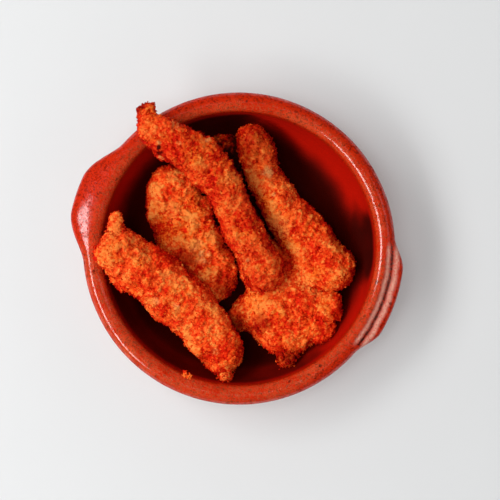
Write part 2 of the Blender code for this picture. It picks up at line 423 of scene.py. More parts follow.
@dataclass
class Surface:
    """A new material: its shader, and the wiring that feeds it."""

    name: str
    material: bpy.types.Material = field(init=False)
    shader: bpy.types.Node = field(init=False)
    wiring: Wiring = field(init=False)

    def __post_init__(self) -> None:
        """Make the material with its Principled BSDF."""
        self.material = bpy.data.materials.new(self.name)
        self.material.use_nodes = True
        self.wiring = Wiring(self.material.node_tree)
        self.shader = self.material.node_tree.nodes["Principled BSDF"]

    def set(self, **sources: object) -> None:
        """Feed the shader's sockets, with _ for the spaces in their names."""
        for name, source in sources.items():
            self.wiring.feed(self.shader.inputs[name.replace("_", " ")], source)

    def emboss(self, height: object, depth: float) -> None:
        """Let a height that changes over the surface tilt the light on it.

        Args:
            height: The height, from 0 to 1.
            depth: How deep the relief looks, in millimetres.
        """
        bump = self.wiring.add("Bump")
        bump.inputs["Strength"].default_value = 1.0
        bump.inputs["Distance"].default_value = depth * MM
        self.wiring.feed(bump.inputs["Height"], height)
        self.wiring.feed(self.shader.inputs["Normal"], bump.outputs["Normal"])


def new_group(
    name: str, inputs: dict[str, float], outputs: tuple[str, ...]
) -> tuple[Wiring, bpy.types.Node, bpy.types.Node]:
    """Start a node group with number sockets.

    Args:
        name: The group's name.
        inputs: Each input and its starting value.
        outputs: The outputs.

    Returns:
        The group's wiring, and its input and output nodes.
    """
    group = bpy.data.node_groups.new(name, "ShaderNodeTree")
    for socket, value in inputs.items():
        made = group.interface.new_socket(socket, in_out="INPUT", socket_type="NodeSocketFloat")
        made.default_value = value
    for socket in outputs:
        group.interface.new_socket(socket, in_out="OUTPUT", socket_type="NodeSocketFloat")
    return Wiring(group), group.nodes.new("NodeGroupInput"), group.nodes.new("NodeGroupOutput")


@dataclass
class Effects:
    """The node groups that the finishes share."""

    spot_edge: Span = (0.55, 0.25)
    tone_span: Span = (0.15, 1.33)
    mottle: bpy.types.NodeTree = field(init=False)
    speckle: bpy.types.NodeTree = field(init=False)
    crumble: bpy.types.NodeTree = field(init=False)

    def __post_init__(self) -> None:
        """Build each group once."""
        self.mottle = self.make_mottle()
        self.speckle = self.make_speckle()
        self.crumble = self.make_crumble()

    def make_mottle(self) -> bpy.types.NodeTree:
        """Make cloudy patches: Scale in cells a metre, and Low and High to set their contrast.

        Returns:
            The group, which puts out the patches as a mask.
        """
        wiring, given, result = new_group(
            "mottle", {"Scale": 100.0, "Low": 0.35, "High": 0.65}, ("Mask",)
        )
        noise = wiring.noise(given.outputs["Scale"], 3.0, 0.55)
        mask = wiring.spread(noise, given.outputs["Low"], given.outputs["High"])
        wiring.feed(result.inputs["Mask"], mask)
        return wiring.tree

    def make_speckle(self) -> bpy.types.NodeTree:
        """Make uneven small spots: Scale in cells a metre, and Cover for how much they take up.

        Returns:
            The group, which puts out the spots as a mask.
        """
        wiring, given, result = new_group("speckle", {"Scale": 600.0, "Cover": 0.3}, ("Mask",))
        cells = wiring.add("TexVoronoi")
        wiring.feed(cells.inputs["Vector"], wiring.add("TexCoord").outputs["Object"])
        wiring.feed(cells.inputs["Scale"], given.outputs["Scale"])
        shade = wiring.add("SeparateColor")
        wiring.feed(shade.inputs[0], cells.outputs["Color"])
        near = wiring.spread(cells.outputs["Distance"], *self.spot_edge)
        chosen = wiring.maths("LESS_THAN", shade.outputs["Red"], given.outputs["Cover"])
        wiring.feed(result.inputs["Mask"], wiring.times(near, chosen))
        return wiring.tree

    def make_crumble(self) -> bpy.types.NodeTree:
        """Make a crumb crust's painted light and shade: how high, how bright each grain, and fine
        grit.

        Returns:
            The group, which puts out the crust's tone and the height of its grit.
        """
        wiring, given, result = new_group(
            "crumble", {"Crest": 0.5, "Grain": 0.5, "Scale": 900.0}, ("Tone", "Height")
        )
        grit = wiring.noise(given.outputs["Scale"], 2.0, 0.6)
        tone = wiring.total(
            (given.outputs["Crest"], 0.6), (given.outputs["Grain"], 0.6), (grit, 0.3)
        )
        wiring.feed(result.inputs["Tone"], wiring.spread(tone, *self.tone_span))
        wiring.feed(result.inputs["Height"], grit)
        return wiring.tree


@dataclass(frozen=True)
class CrumbCoat:
    """The finish of a fried crumb crust, from painted shade in its red dips to painted highlights
    on its pale tips.

    The scales are cells in a metre, and the relief is in millimetres.

    Attributes:
        deep_shade: The painted shade in the dips between the crumbs.
        red: The lower sides of the crumbs, in painted shade.
        body: The crust as most of it shows.
        lit_sides: The upper sides of the crumbs, as painted light.
        highlight_tip: The palest tips, as a painted highlight.
        gold: The patches that are more golden than red.
        bare: The patches where the coat is thin and pale.
        burnt_and_shade: The darkest spots, both burnt ones and painted shade.
    """

    deep_shade: Colour = paint(96, 4, 1)
    red: Colour = paint(198, 16, 2)
    body: Colour = paint(228, 39, 7)
    lit_sides: Colour = paint(255, 90, 30)
    highlight_tip: Colour = paint(255, 150, 66)
    gold: Colour = paint(255, 112, 31)
    bare: Colour = paint(255, 178, 106)
    burnt_and_shade: Colour = paint(40, 8, 4)
    grit_scale: float = 1400.0
    cloud_scale: float = 100.0
    cloud_span: Span = (0.36, 0.64)
    # How far the burnt value lowers the tone, for burnt spots and for painted shade.
    burnt_and_shade_strength: float = 0.4
    dryness: Span = (0.7, 0.5)
    sheen: float = 0.04
    relief: float = 0.25

    def material(self, name: str, effects: Effects) -> bpy.types.Material:
        """Make the material of one strip's crust and crumbs.

        Args:
            name: The material's name.
            effects: The shared node groups.

        Returns:
            The material.
        """
        surface = Surface(name)
        wiring = surface.wiring
        crest, grain, burnt_shade = (wiring.value(name) for name in ("crest", "grain", "burnt_and_shade"))
        crumble = wiring.use(effects.crumble, Crest=crest, Grain=grain, Scale=self.grit_scale)
        # The burnt value darkens the crust for burnt spots and as painted shade on shaded parts of
        # the strips.
        tone = wiring.total((burnt_shade, -self.burnt_and_shade_strength), (crumble.outputs["Tone"], 1.0))
        low, high = self.cloud_span
        cloud = wiring.mask(effects.mottle, Scale=self.cloud_scale, Low=low, High=high)
        # The ramps run from painted shade in the dips to painted light on the upper sides and
        # painted highlights on the tips.
        reds = ((0.0, self.deep_shade), (0.28, self.red), (0.55, self.body), (0.84, self.lit_sides))
        golds = ((0.0, self.deep_shade), (0.28, self.red), (0.48, self.body), (0.74, self.gold))
        pales = ((0.0, self.red), (0.2, self.body), (0.42, self.gold), (0.7, self.bare))
        rows = [(*row, (1.0, self.highlight_tip)) for row in (reds, golds, pales)]
        red, golden, pale = (wiring.ramp(tone, row) for row in rows)
        golden_share = wiring.total((wiring.value("gold"), 1.0), (cloud, 0.5))
        colour = wiring.blend(wiring.spread(golden_share, 0.1, 1.0), red, golden)
        colour = wiring.blend(wiring.value("bare"), colour, pale)
        # Blend towards the dark colours where the crust is burnt and where painted shade lies.
        colour = wiring.blend(wiring.spread(burnt_shade, -0.5, 1.15, (-0.1, 1.0)), colour, self.deep_shade)
        colour = wiring.blend(wiring.spread(burnt_shade, 0.5, 0.9), colour, self.burnt_and_shade)
        surface.set(Base_Color=colour, Specular_IOR_Level=self.sheen)
        surface.set(Roughness=wiring.spread(tone, 0.0, 1.0, self.dryness))
        surface.emboss(crumble.outputs["Height"], self.relief)
        return surface.material


@dataclass(frozen=True)
class GlazedClay:
    """The finish of red clay with a clear glossy glaze over its upper part.

    The scales are cells in a metre, and the relief is in millimetres.

    Attributes:
        outer: The glaze on the rim, the lugs and the outside.
        inner: The deeper glaze inside the dish.
        pool_and_shade: Where the glaze lies thick in the lug's groove, and the painted shade inside
            the dish and under the rim.
        thin: Where the glaze runs thin over an edge.
        worn: The chalky band along the inner half of the rim.
        grains: The light grains in that band.
        chalk_and_sheen: The palest bands along one lug, dusty clay with a painted sheen.
        clay: The bare clay below the glaze.
        soot: The small dark pits.
    """

    outer: Colour = paint(196, 36, 3)
    inner: Colour = paint(174, 15, 2)
    pool_and_shade: Colour = paint(54, 4, 1)
    thin: Colour = paint(220, 74, 30)
    worn: Colour = paint(228, 84, 42)
    grains: Colour = paint(234, 122, 86)
    chalk_and_sheen: Colour = paint(228, 158, 138)
    clay: Colour = paint(186, 92, 58)
    soot: Colour = paint(64, 20, 14)
    cloud_scale: float = 55.0
    blotch_scale: float = 210.0
    grain_scale: float = 800.0
    freckle_scale: float = 1000.0
    pit_scale: float = 420.0
    pit_cover: float = 0.008
    gloss_blur: float = 0.13
    relief_scale: float = 380.0
    relief: float = 1.5

    def material(self, name: str, effects: Effects) -> bpy.types.Material:
        """Make the dish's material.

        Args:
            name: The material's name.
            effects: The shared node groups.

        Returns:
            The material.
        """
        surface = Surface(name)
        wiring = surface.wiring
        cloud = wiring.mask(effects.mottle, Scale=self.cloud_scale, Low=0.3, High=0.7)
        grain = wiring.mask(effects.mottle, Scale=self.grain_scale, Low=0.46, High=0.6)
        blotch = wiring.mask(effects.mottle, Scale=self.blotch_scale, Low=0.42, High=0.7)
        freckles = wiring.mask(effects.speckle, Scale=self.freckle_scale, Cover=0.5)
        pits = wiring.mask(effects.speckle, Scale=self.pit_scale, Cover=self.pit_cover)
        inside, bare, chalk_and_sheen = (wiring.value(name) for name in ("inside", "bare", "chalk_and_sheen"))
        outside = wiring.maths("SUBTRACT", 1.0, inside)
        rough = wiring.total((grain, 0.7), (cloud, 0.35), (freckles, -0.7))
        worn = wiring.times(wiring.value("worn"), wiring.spread(rough, -0.1, 0.75))
        # Pale dusty bands on the right lug, with a painted sheen on them.
        dust_and_sheen = wiring.times(chalk_and_sheen, wiring.spread(rough, -0.6, 0.5, (0.3, 1.0)))
        glaze = wiring.blend(inside, self.outer, self.inner)
        glaze = wiring.blend(wiring.value("thin"), glaze, self.thin)
        gritty = wiring.blend(wiring.times(freckles, 0.7), self.worn, self.grains)
        colour = wiring.blend(worn, glaze, gritty)
        dips = wiring.total((blotch, 0.16), (grain, 0.42), (freckles, -0.35))
        dips = wiring.times(dips, outside)
        # Darker where glaze pools in the lug's groove, where painted shade lies inside the dish and
        # under the rim, and in dark mottling.
        darkening = wiring.total((wiring.value("pool_and_shade"), 1.0), (cloud, 0.1), (dips, 1.0))
        colour = wiring.blend(wiring.spread(darkening, 0.0, 1.0), colour, self.pool_and_shade)
        colour = wiring.blend(dust_and_sheen, colour, self.chalk_and_sheen)
        pits = wiring.times(pits, outside)
        colour = wiring.blend(wiring.times(pits, 0.7), colour, self.soot)
        colour = wiring.blend(bare, colour, wiring.blend(grain, self.clay, self.worn))
        gone = wiring.total((inside, 0.9), (chalk_and_sheen, 0.5), (wiring.value("dull"), 0.85))
        gone = wiring.maths("MAXIMUM", bare, gone)
        flaws = wiring.total((grain, 0.3), (freckles, 0.6), (blotch, 0.5))
        matt = wiring.maths("MAXIMUM", gone, flaws)
        surface.set(Base_Color=colour, Roughness=wiring.spread(matt, 0.0, 1.0, (0.4, 0.85)))
        surface.set(Coat_Weight=wiring.spread(matt, 0.0, 0.95, (1.0, 0.0)))
        surface.set(Specular_IOR_Level=0.03, Coat_Roughness=self.gloss_blur, Coat_IOR=1.5)
        relief = wiring.total((wiring.noise(self.relief_scale, 5.0, 0.7), 1.0), (pits, -0.4))
        shown = wiring.total((outside, 0.5), (wiring.value("worn"), 0.4))
        shown = wiring.maths("ADD", shown, 0.1)
        surface.emboss(wiring.times(relief, shown), self.relief)
        return surface.material


@dataclass(frozen=True)
class PaleFloor:
    """The finish of the pale table top."""

    colour: Colour = (0.56, 0.567, 0.57)
    dimming: float = 0.985
    glow: float = 0.17

    def material(self, effects: Effects) -> bpy.types.Material:
        """Make the floor's material, with a barely seen mottle and a faint light of its own.

        Args:
            effects: The shared node groups.

        Returns:
            The material.
        """
        surface = Surface("pale_floor")
        cloud = surface.wiring.mask(effects.mottle, Scale=9.0, Low=0.2, High=0.8)
        dim = tuple(self.dimming * part for part in self.colour)
        surface.set(Base_Color=surface.wiring.blend(cloud, self.colour, dim))
        surface.set(Roughness=1.0, Specular_IOR_Level=0.0)
        surface.set(Emission_Color=(1.0, 1.0, 1.0), Emission_Strength=self.glow)
        return surface.material


@dataclass(frozen=True)
class Lug:
    """A clay lug: where it sits round the rim, its reach, how blunt it is and how it droops."""

    bearing: float
    reach: float
    half_angle: float
    bluntness: float
    droop: float
    groove: float

    def spread(self, bearings: np.ndarray) -> np.ndarray:
        """Tell how much of the lug shows at bearings round the dish."""
        return 1.0 - ease(self.bluntness, 1.0, aside(bearings, self.bearing) / self.half_angle)


@dataclass(frozen=True)
class Run:
    """A run of bearings round the dish, in degrees.

    Attributes:
        middle: The bearing of its middle.
        full: How far to each side it shows in full.
        fade: How far to each side it has faded away.
        share: How strongly it shows.
    """

    middle: float
    full: float
    fade: float
    share: float = 1.0

    def spread(self, bearings: np.ndarray) -> np.ndarray:
        """Tell how strongly the run shows at bearings round the dish."""
        return self.share * (1.0 - ease(self.full, self.fade, aside(bearings, self.middle)))


@dataclass
class Dish:
    """The dish: a turned clay bowl with a thick round rim and two lugs.

    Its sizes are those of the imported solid, and it is turned in finer steps.
    """

    node: str = "dish"
    finish: GlazedClay = GlazedClay()
    rim_radius: float = 90.0
    height: float = 42.0
    rim_half_width: float = 5.7
    rim_half_height: float = 5.5
    rim_start: float = -62.0
    foot_radius: float = 60.0
    floor_radius: float = 47.0
    floor_top: float = 6.5
    inner_heel: float = 73.5
    outer_heel: tuple[float, float] = (78.5, 2.0)
    under_rim: tuple[float, float] = (85.3, 30.5)
    lug_root: float = 24.0
    lug_full: float = 33.0
    crest_start: float = 0.6
    groove_lean: float = 0.6
    lugs: tuple[Lug, ...] = (
        Lug(bearing=180.8, reach=9.2, half_angle=24.0, bluntness=0.25, droop=0.32, groove=0.0),
        Lug(bearing=0.5, reach=5.4, half_angle=23.0, bluntness=0.5, droop=0.1, groove=1.2),
    )
    columns: int = 360
    rim_steps: int = 60
    wall_steps: int = 34
    base_steps: int = 10
    groove_radius: float = 88.1
    groove_depth: float = 0.7
    groove_half_width: float = 1.3
    # Pale bands along the right lug: dusty clay with a painted sheen.
    chalk_and_sheen_bands: tuple[tuple[float, float], ...] = ((86.0, 1.9), (90.8, 2.4))
    blush: tuple[float, float] = (-39.6, -77.3)
    blush_radius: float = 4.5
    wide_wear: Run = Run(256.0, 42.0, 72.0)
    # Painted light: the run of bearings where the inside wall is lit, so its painted shade starts
    # lower.
    lit_wall: Run = Run(58.0, 14.0, 42.0)
    # Painted shadows on the inside wall, in runs of bearings.
    shadow_runs: tuple[Run, ...] = (
        Run(20.0, 7.0, 26.0),
        Run(122.0, 14.0, 28.0),
        Run(-100.0, 56.0, 82.0, share=0.75),
    )
    ring_depth: float = 0.05
    ring_size: float = 2.3
    wobble: float = 0.22
    wobble_size: float = 34.0
    glaze_line: float = 13.0
    glaze_drip: float = 5.0
    drip_size: float = 16.0
    fray_size: float = 7.0
    fleck_size: float = 2.6
    wear_starts: Span = (78.7, 79.6)
    wear_ends: Span = (81.0, 87.0)
    wear_widens: float = 6.0
    run_fray: float = 4.0
    # Where the painted shade inside fades going up, above the floor and below the rim, each lower
    # on the lit run; then the painted shadows' strength and how far below the rim they stop.
    shade_starts: Span = (2.0, 1.8)
    shade_ends: Span = (3.0, 12.0)
    shadow_share: float = 0.9
    shadow_rise: float = 7.0
    # How tall the band of painted shade under the rim's overhang is.
    shade_under_width: float = 5.0
    thin_band: Span = (1.5, 3.5)
    dull_band: Span = (-1.0, 3.5)
    seed: int = 5

    @property
    def rim_centre(self) -> tuple[float, float]:
        """The middle of the rim's oval section."""
        return self.rim_radius - self.rim_half_width, self.height - self.rim_half_height

    @property
    def mouth_radius(self) -> float:
        """The radius where the rim's inner side turns down into the dish."""
        return self.rim_centre[0] - self.rim_half_width

    def section(self) -> tuple[np.ndarray, int]:
        """List the section from the middle of the underside to the middle of the floor.

        Returns:
            The points as radius and height, and the number of the first point inside.
        """
        middle, level = self.rim_centre
        foot = np.linspace((0.0, 0.0), (self.foot_radius, 0.0), self.base_steps + 1)
        outside = bend((self.foot_radius, 0.0), self.outer_heel, self.under_rim, self.wall_steps)
        turn = np.radians(np.linspace(self.rim_start, 180.0, self.rim_steps + 1))
        across = middle + self.rim_half_width * np.cos(turn)
        rim = np.column_stack((across, level + self.rim_half_height * np.sin(turn)))
        heel = (self.inner_heel, self.floor_top)
        bottom = (self.floor_radius, self.floor_top)
        inside = bend((self.mouth_radius, level), heel, bottom, self.wall_steps)
        floor = np.linspace(bottom, (0.0, self.floor_top), self.base_steps + 1)
        first_inside = len(foot) + len(outside) + len(rim) - 3
        parts = (foot[:-1], outside[:-1], rim[:-1], inside[:-1], floor)
        return np.vstack(parts), first_inside

    def throw(self, section: np.ndarray) -> np.ndarray:
        """Give the section the fine rings of throwing.

        Args:
            section: The plain section.

        Returns:
            The section with its fine relief.
        """
        along = np.gradient(section, axis=0)
        out = unit(np.column_stack((along[:, 1], -along[:, 0])))
        run = np.cumsum(np.linalg.norm(along, axis=1))[:, None]
        relief = self.ring_depth * soft_noise(run, self.ring_size, self.seed)
        keep_flat = ease(0.0, 2.0, section[:, 1]) * ease(0.0, 20.0, section[:, 0])
        return section + out * (relief * keep_flat)[:, None]

    def turn(self, section: np.ndarray) -> tuple[np.ndarray, list]:
        """Turn the section round the dish's axis.

        Args:
            section: The points as radius and height, with both ends on the axis.

        Returns:
            The corners and the faces.
        """
        angles = math.tau * np.arange(self.columns) / self.columns
        rings = section[1:-1]
        x = rings[:, :1] * np.cos(angles)
        y = rings[:, :1] * np.sin(angles)
        z = np.repeat(rings[:, 1:], self.columns, axis=1)
        ends = np.array([[0.0, 0.0, section[0, 1]], [0.0, 0.0, section[-1, 1]]])
        points = np.vstack((ends, np.column_stack((x.ravel(), y.ravel(), z.ravel()))))
        here = np.arange(self.columns)
        after = (here + 1) % self.columns
        low = 2 + self.columns * np.arange(len(rings) - 1)[:, None]
        high = low + self.columns
        quads = np.stack((low + here, low + after, high + after, high + here), axis=-1)
        last = 2 + self.columns * (len(rings) - 1)
        faces = quads.reshape(-1, 4).tolist()
        faces += np.column_stack((np.zeros_like(here), 2 + after, 2 + here)).tolist()
        faces += np.column_stack((np.ones_like(here), last + here, last + after)).tolist()
        return points, faces

    def swell(self, points: np.ndarray) -> tuple[np.ndarray, np.ndarray]:
        """Push the outside of the rim out into the lugs, with the groove along one of them.

        Args:
            points: The turned corners.

        Returns:
            The corners with the lugs, and how far each then lies from the axis.
        """
        radius, bearing = polar(points)
        on_top = points[:, 2] > self.rim_centre[1]
        share = self.lug_share(radius, points[:, 2])
        reached = radius.copy()
        dip = np.zeros_like(radius)
        for lug in self.lugs:
            spread = lug.spread(bearing)
            out = lug.reach * spread * share
            reached += out
            dip += lug.droop * out
            dip += on_top * lug.groove * spread * np.sin(math.pi * share**self.groove_lean)
        groove = on_top * hump(self.groove_radius, self.groove_half_width, reached)
        dip += self.groove_depth * groove * self.grooved(bearing)
        grown = reached / np.maximum(radius, 1.0)
        moved = points * np.column_stack((grown, grown, np.ones_like(grown)))
        moved[:, 2] -= dip
        return moved, reached

    def grooved(self, bearings: np.ndarray) -> np.ndarray:
        """Tell how much of the groove and its pale bands shows at bearings round the dish."""
        return ease(0.0, 0.4, self.lugs[1].spread(bearings))

    def lug_share(self, radius: np.ndarray, height: np.ndarray) -> np.ndarray:
        """Tell how much of a lug's reach shows at places on the section.

        Args:
            radius: How far the places lie from the axis.
            height: How high they lie.

        Returns:
            The share of the reach, from 0 to 1.
        """
        middle, level = self.rim_centre
        crest = ease(middle, self.rim_radius - self.crest_start, radius)
        share = ease(self.lug_root, self.lug_full, height) * np.where(height > level, crest, 1.0)
        return share * (radius >= self.mouth_radius + self.crest_start)

    def masks(
        self, plain: np.ndarray, reached: np.ndarray, inside: np.ndarray
    ) -> dict[str, np.ndarray]:
        """Work out where the glaze is worn, pooled or missing, where painted shade and painted
        light fall on it, and where a painted sheen lies on the lug's pale bands.

        Args:
            plain: The turned corners, before the lugs swell.
            reached: How far from the axis each lies once they have swollen.
            inside: Whether each corner lies inside the dish.

        Returns:
            A value from 0 to 1 for each corner under each name.
        """
        (radius, bearing), height = polar(plain), plain[:, 2]
        level = self.rim_centre[1]
        fray = soft_noise(plain, self.fray_size, self.seed + 1)
        flecks = soft_noise(plain, self.fleck_size, self.seed + 4)
        crest = height > level
        frayed = radius + fray + flecks - self.wear_widens * self.wide_wear.spread(bearing)
        worn = crest * ease(*self.wear_starts, radius) * (1.0 - ease(*self.wear_ends, frayed))
        left = self.lugs[0].spread(bearing) * self.lug_share(radius, height)
        groove = hump(self.groove_radius, self.groove_half_width, reached + 0.3 * fray)
        bands = [hump(middle, half, reached + 0.5 * flecks) for middle, half in self.chalk_and_sheen_bands]
        blush, _ = polar(plain[:, :2] - np.array(self.blush))
        blush = crest * (1.0 - ease(0.4, 1.0, blush / self.blush_radius + 0.3 * flecks))
        drips = soft_noise(plain[:, :2], self.drip_size, self.seed + 2)
        line = self.glaze_line + self.glaze_drip * drips
        bare = ~inside * (1.0 - ease(-0.6, 0.6, height - line - fray))
        around = bearing + self.run_fray * fray
        # Painted light on the lit run of the inside wall, and painted shade that darkens the inside
        # towards the floor.
        lit = self.lit_wall.spread(around)
        low = self.floor_top + self.shade_starts[0] - self.shade_starts[1] * lit
        high = level - self.shade_ends[0] - self.shade_ends[1] * lit
        # Painted shadows on the inside wall, in runs of bearings.
        painted_shadow = self.shadow_share * sum(run.spread(around) for run in self.shadow_runs)
        painted_shadow = painted_shadow * (1.0 - ease(level - self.shadow_rise, level, height))
        deep_shade = inside * np.maximum(1.0 - ease(low, high, height), painted_shadow)
        # Painted shade on the outside, under the rim's overhang.
        shade_under_rim = ~inside * hump(self.under_rim[1], self.shade_under_width, height)
        thin = left * ~inside * hump(level - self.thin_band[0], self.thin_band[1], height)
        on_lug = crest * self.grooved(bearing)
        return {
            "inside": inside * ease(0.0, 4.0, level + 1.0 - height),
            "worn": worn,
            "chalk_and_sheen": on_lug * np.clip(sum(bands), 0.0, 1.0),
            "thin": np.maximum(thin, 0.8 * blush),
            "bare": bare,
            "dull": ~inside * (1.0 - ease(*self.dull_band, height - level)),
            # Glaze pooled in the right lug's groove, with the painted shade inside the dish and
            # under the rim.
            "pool_and_shade": np.maximum(np.maximum(0.8 * on_lug * groove, deep_shade), 0.8 * shade_under_rim),
        }

    def build(self, effects: Effects) -> None:
        """Turn, swell, settle and glaze the dish.

        Args:
            effects: The shared node groups.
        """
        section, first_inside = self.section()
        points, faces = self.turn(self.throw(section))
        plain, _ = self.turn(section)
        rows = 1 + (np.arange(len(points)) - 2) // self.columns
        rows[:2] = (0, len(section) - 1)
        points, reached = self.swell(points)
        values = self.masks(plain, reached, rows >= first_inside)
        lean = soft_noise(points * np.array((1.0, 1.0, 0.4)), self.wobble_size, self.seed + 3)
        lean = self.wobble * lean * ease(2.0, 20.0, points[:, 2])
        out = points[:, :2] / np.maximum(polar(points)[0], 1.0)[:, None]
        points[:, :2] += out * lean[:, None]
        piece = make_piece("clay_dish", points, faces)
        piece.data.shade_smooth()
        note(piece, values)
        piece.data.materials.append(self.finish.material("glazed_clay", effects))
        settle(piece, self.node)


@dataclass(frozen=True)
class Patch:
    """A patch of crust that differs from the rest, seen from above.

    Attributes:
        tint: What it shows.
        x: Where its middle lies.
        y: Where its middle lies.
        radius: How far it reaches.
        tone: How strongly it shows.
    """

    tint: Tint
    x: float
    y: float
    radius: float
    tone: float


def spots(tint: Tint, *rows: tuple[float, float, float, float]) -> tuple[Patch, ...]:
    """Make patches of one tint from rows of x, y, radius and tone."""
    return tuple(Patch(tint, *row) for row in rows)


@dataclass(frozen=True)
class GrainSize:
    """How grains sit in the crust: the area for each, and the ranges of radius and height."""

    area: float
    radius: Span
    height: Span


@dataclass(frozen=True)
class Clod:
    """A small pile of crumbs on the crust, seen from above, with the size of its crumbs."""

    x: float
    y: float
    radius: float
    count: int
    size: float


@dataclass(frozen=True)
class Chip:
    """The shape that crumbs of one cut start from, and how many of them stand on the crust.

    Attributes:
        corners: The corners, one row each, about 1 from the middle.
        faces: The corners of each face.
        area: How much crust there is for each crumb.
        size: The smallest and the largest half width.
    """

    corners: np.ndarray
    faces: np.ndarray
    area: float
    size: Span

    @classmethod
    def coarse(cls) -> Chip:
        """Give the large crumbs' shape, with twelve faces."""
        return cls.cut(6, area=5.0, size=(0.33, 0.82))

    @classmethod
    def fine(cls) -> Chip:
        """Give the small crumbs' shape, with six faces."""
        return cls.cut(3, area=1.9, size=(0.18, 0.42))

    @classmethod
    def cut(cls, sides: int, area: float, size: Span) -> Chip:
        """Give a chip with a point at each end and a ring of corners between them.

        Args:
            sides: How many corners the ring has.
            area: How much crust there is for each crumb.
            size: The smallest and the largest half width.

        Returns:
            The chip.
        """
        turn = np.linspace(0.0, math.tau, sides, endpoint=False)
        ring = np.column_stack((np.cos(turn), np.sin(turn), np.zeros(sides)))
        corners = np.vstack((ring, (0.0, 0.0, 1.0), (0.0, 0.0, -1.0)))
        first = np.arange(sides)
        after = np.roll(first, -1)
        upper = np.column_stack((first, after, np.full(sides, sides)))
        lower = np.column_stack((after, first, np.full(sides, sides + 1)))
        return cls(corners, np.vstack((upper, lower)), area, size)


@dataclass
class Crumbs:
    """Crumbs gathered into one mesh, each a closed chip turned and squashed its own way."""

    points: list[np.ndarray] = field(default_factory=list)
    faces: list[np.ndarray] = field(default_factory=list)
    crest_lights: list[np.ndarray] = field(default_factory=list)
    grains: list[np.ndarray] = field(default_factory=list)
    count: int = 0
    uneven: Span = (0.55, 1.35)
    squashed: Span = (0.5, 1.4)

    def scatter(
        self,
        chip: Chip,
        places: np.ndarray,
        ways: np.ndarray,
        sizes: np.ndarray,
        tones: np.ndarray,
        rng: np.random.Generator,
    ) -> None:
        """Add crumbs.

        Args:
            chip: The shape that they start from.
            places: Their middles.
            ways: The way out of the surface below each.
            sizes: Half of each crumb's width.
            tones: How bright each is, from 0 to 1.
            rng: Where the random draws come from.
        """
        number, corners = len(places), len(chip.corners)
        jitter = rng.uniform(*self.uneven, (number, corners, 1))
        squash = rng.uniform(*self.squashed, (number, 1, 3))
        quaternions = unit(rng.normal(size=(number, 4)))
        turned = self.rotate(chip.corners[None] * jitter * squash, quaternions)
        start = self.count + corners * np.arange(number)
        self.points.append((turned * sizes[:, None, None] + places[:, None]).reshape(-1, 3))
        self.faces.append((chip.faces[None] + start[:, None, None]).reshape(-1, 3))
        # Painted light on the side of each crumb that faces out of the crust, painted shade on the
        # side that faces in.
        crest_lights = 0.5 + 0.5 * (turned * ways[:, None]).sum(axis=2)
        self.crest_lights.append(np.clip(crest_lights, 0.0, 1.0).ravel())
        self.grains.append(np.repeat(tones, corners))
        self.count += number * corners

    @staticmethod
    def rotate(shapes: np.ndarray, quaternions: np.ndarray) -> np.ndarray:
        """Turn each shape by its own quaternion.

        Args:
            shapes: The corners of each shape.
            quaternions: The turns, each w, x, y, z.

        Returns:
            The turned corners.
        """
        scalar = quaternions[:, None, :1]
        axis = np.broadcast_to(quaternions[:, None, 1:], shapes.shape)
        across = 2.0 * np.cross(axis, shapes)
        return shapes + scalar * across + np.cross(axis, across)

    def make(self, name: str) -> tuple[bpy.types.Object, np.ndarray]:
        """Make the piece, with the painted light and shade and the tone of each corner.

        Args:
            name: The piece's name.

        Returns:
            The piece and its corners.
        """
        points = np.vstack(self.points)
        piece = make_piece(name, points, np.vstack(self.faces).tolist())
        note(piece, {"crest": np.concatenate(self.crest_lights), "grain": np.concatenate(self.grains)})
        return piece, points


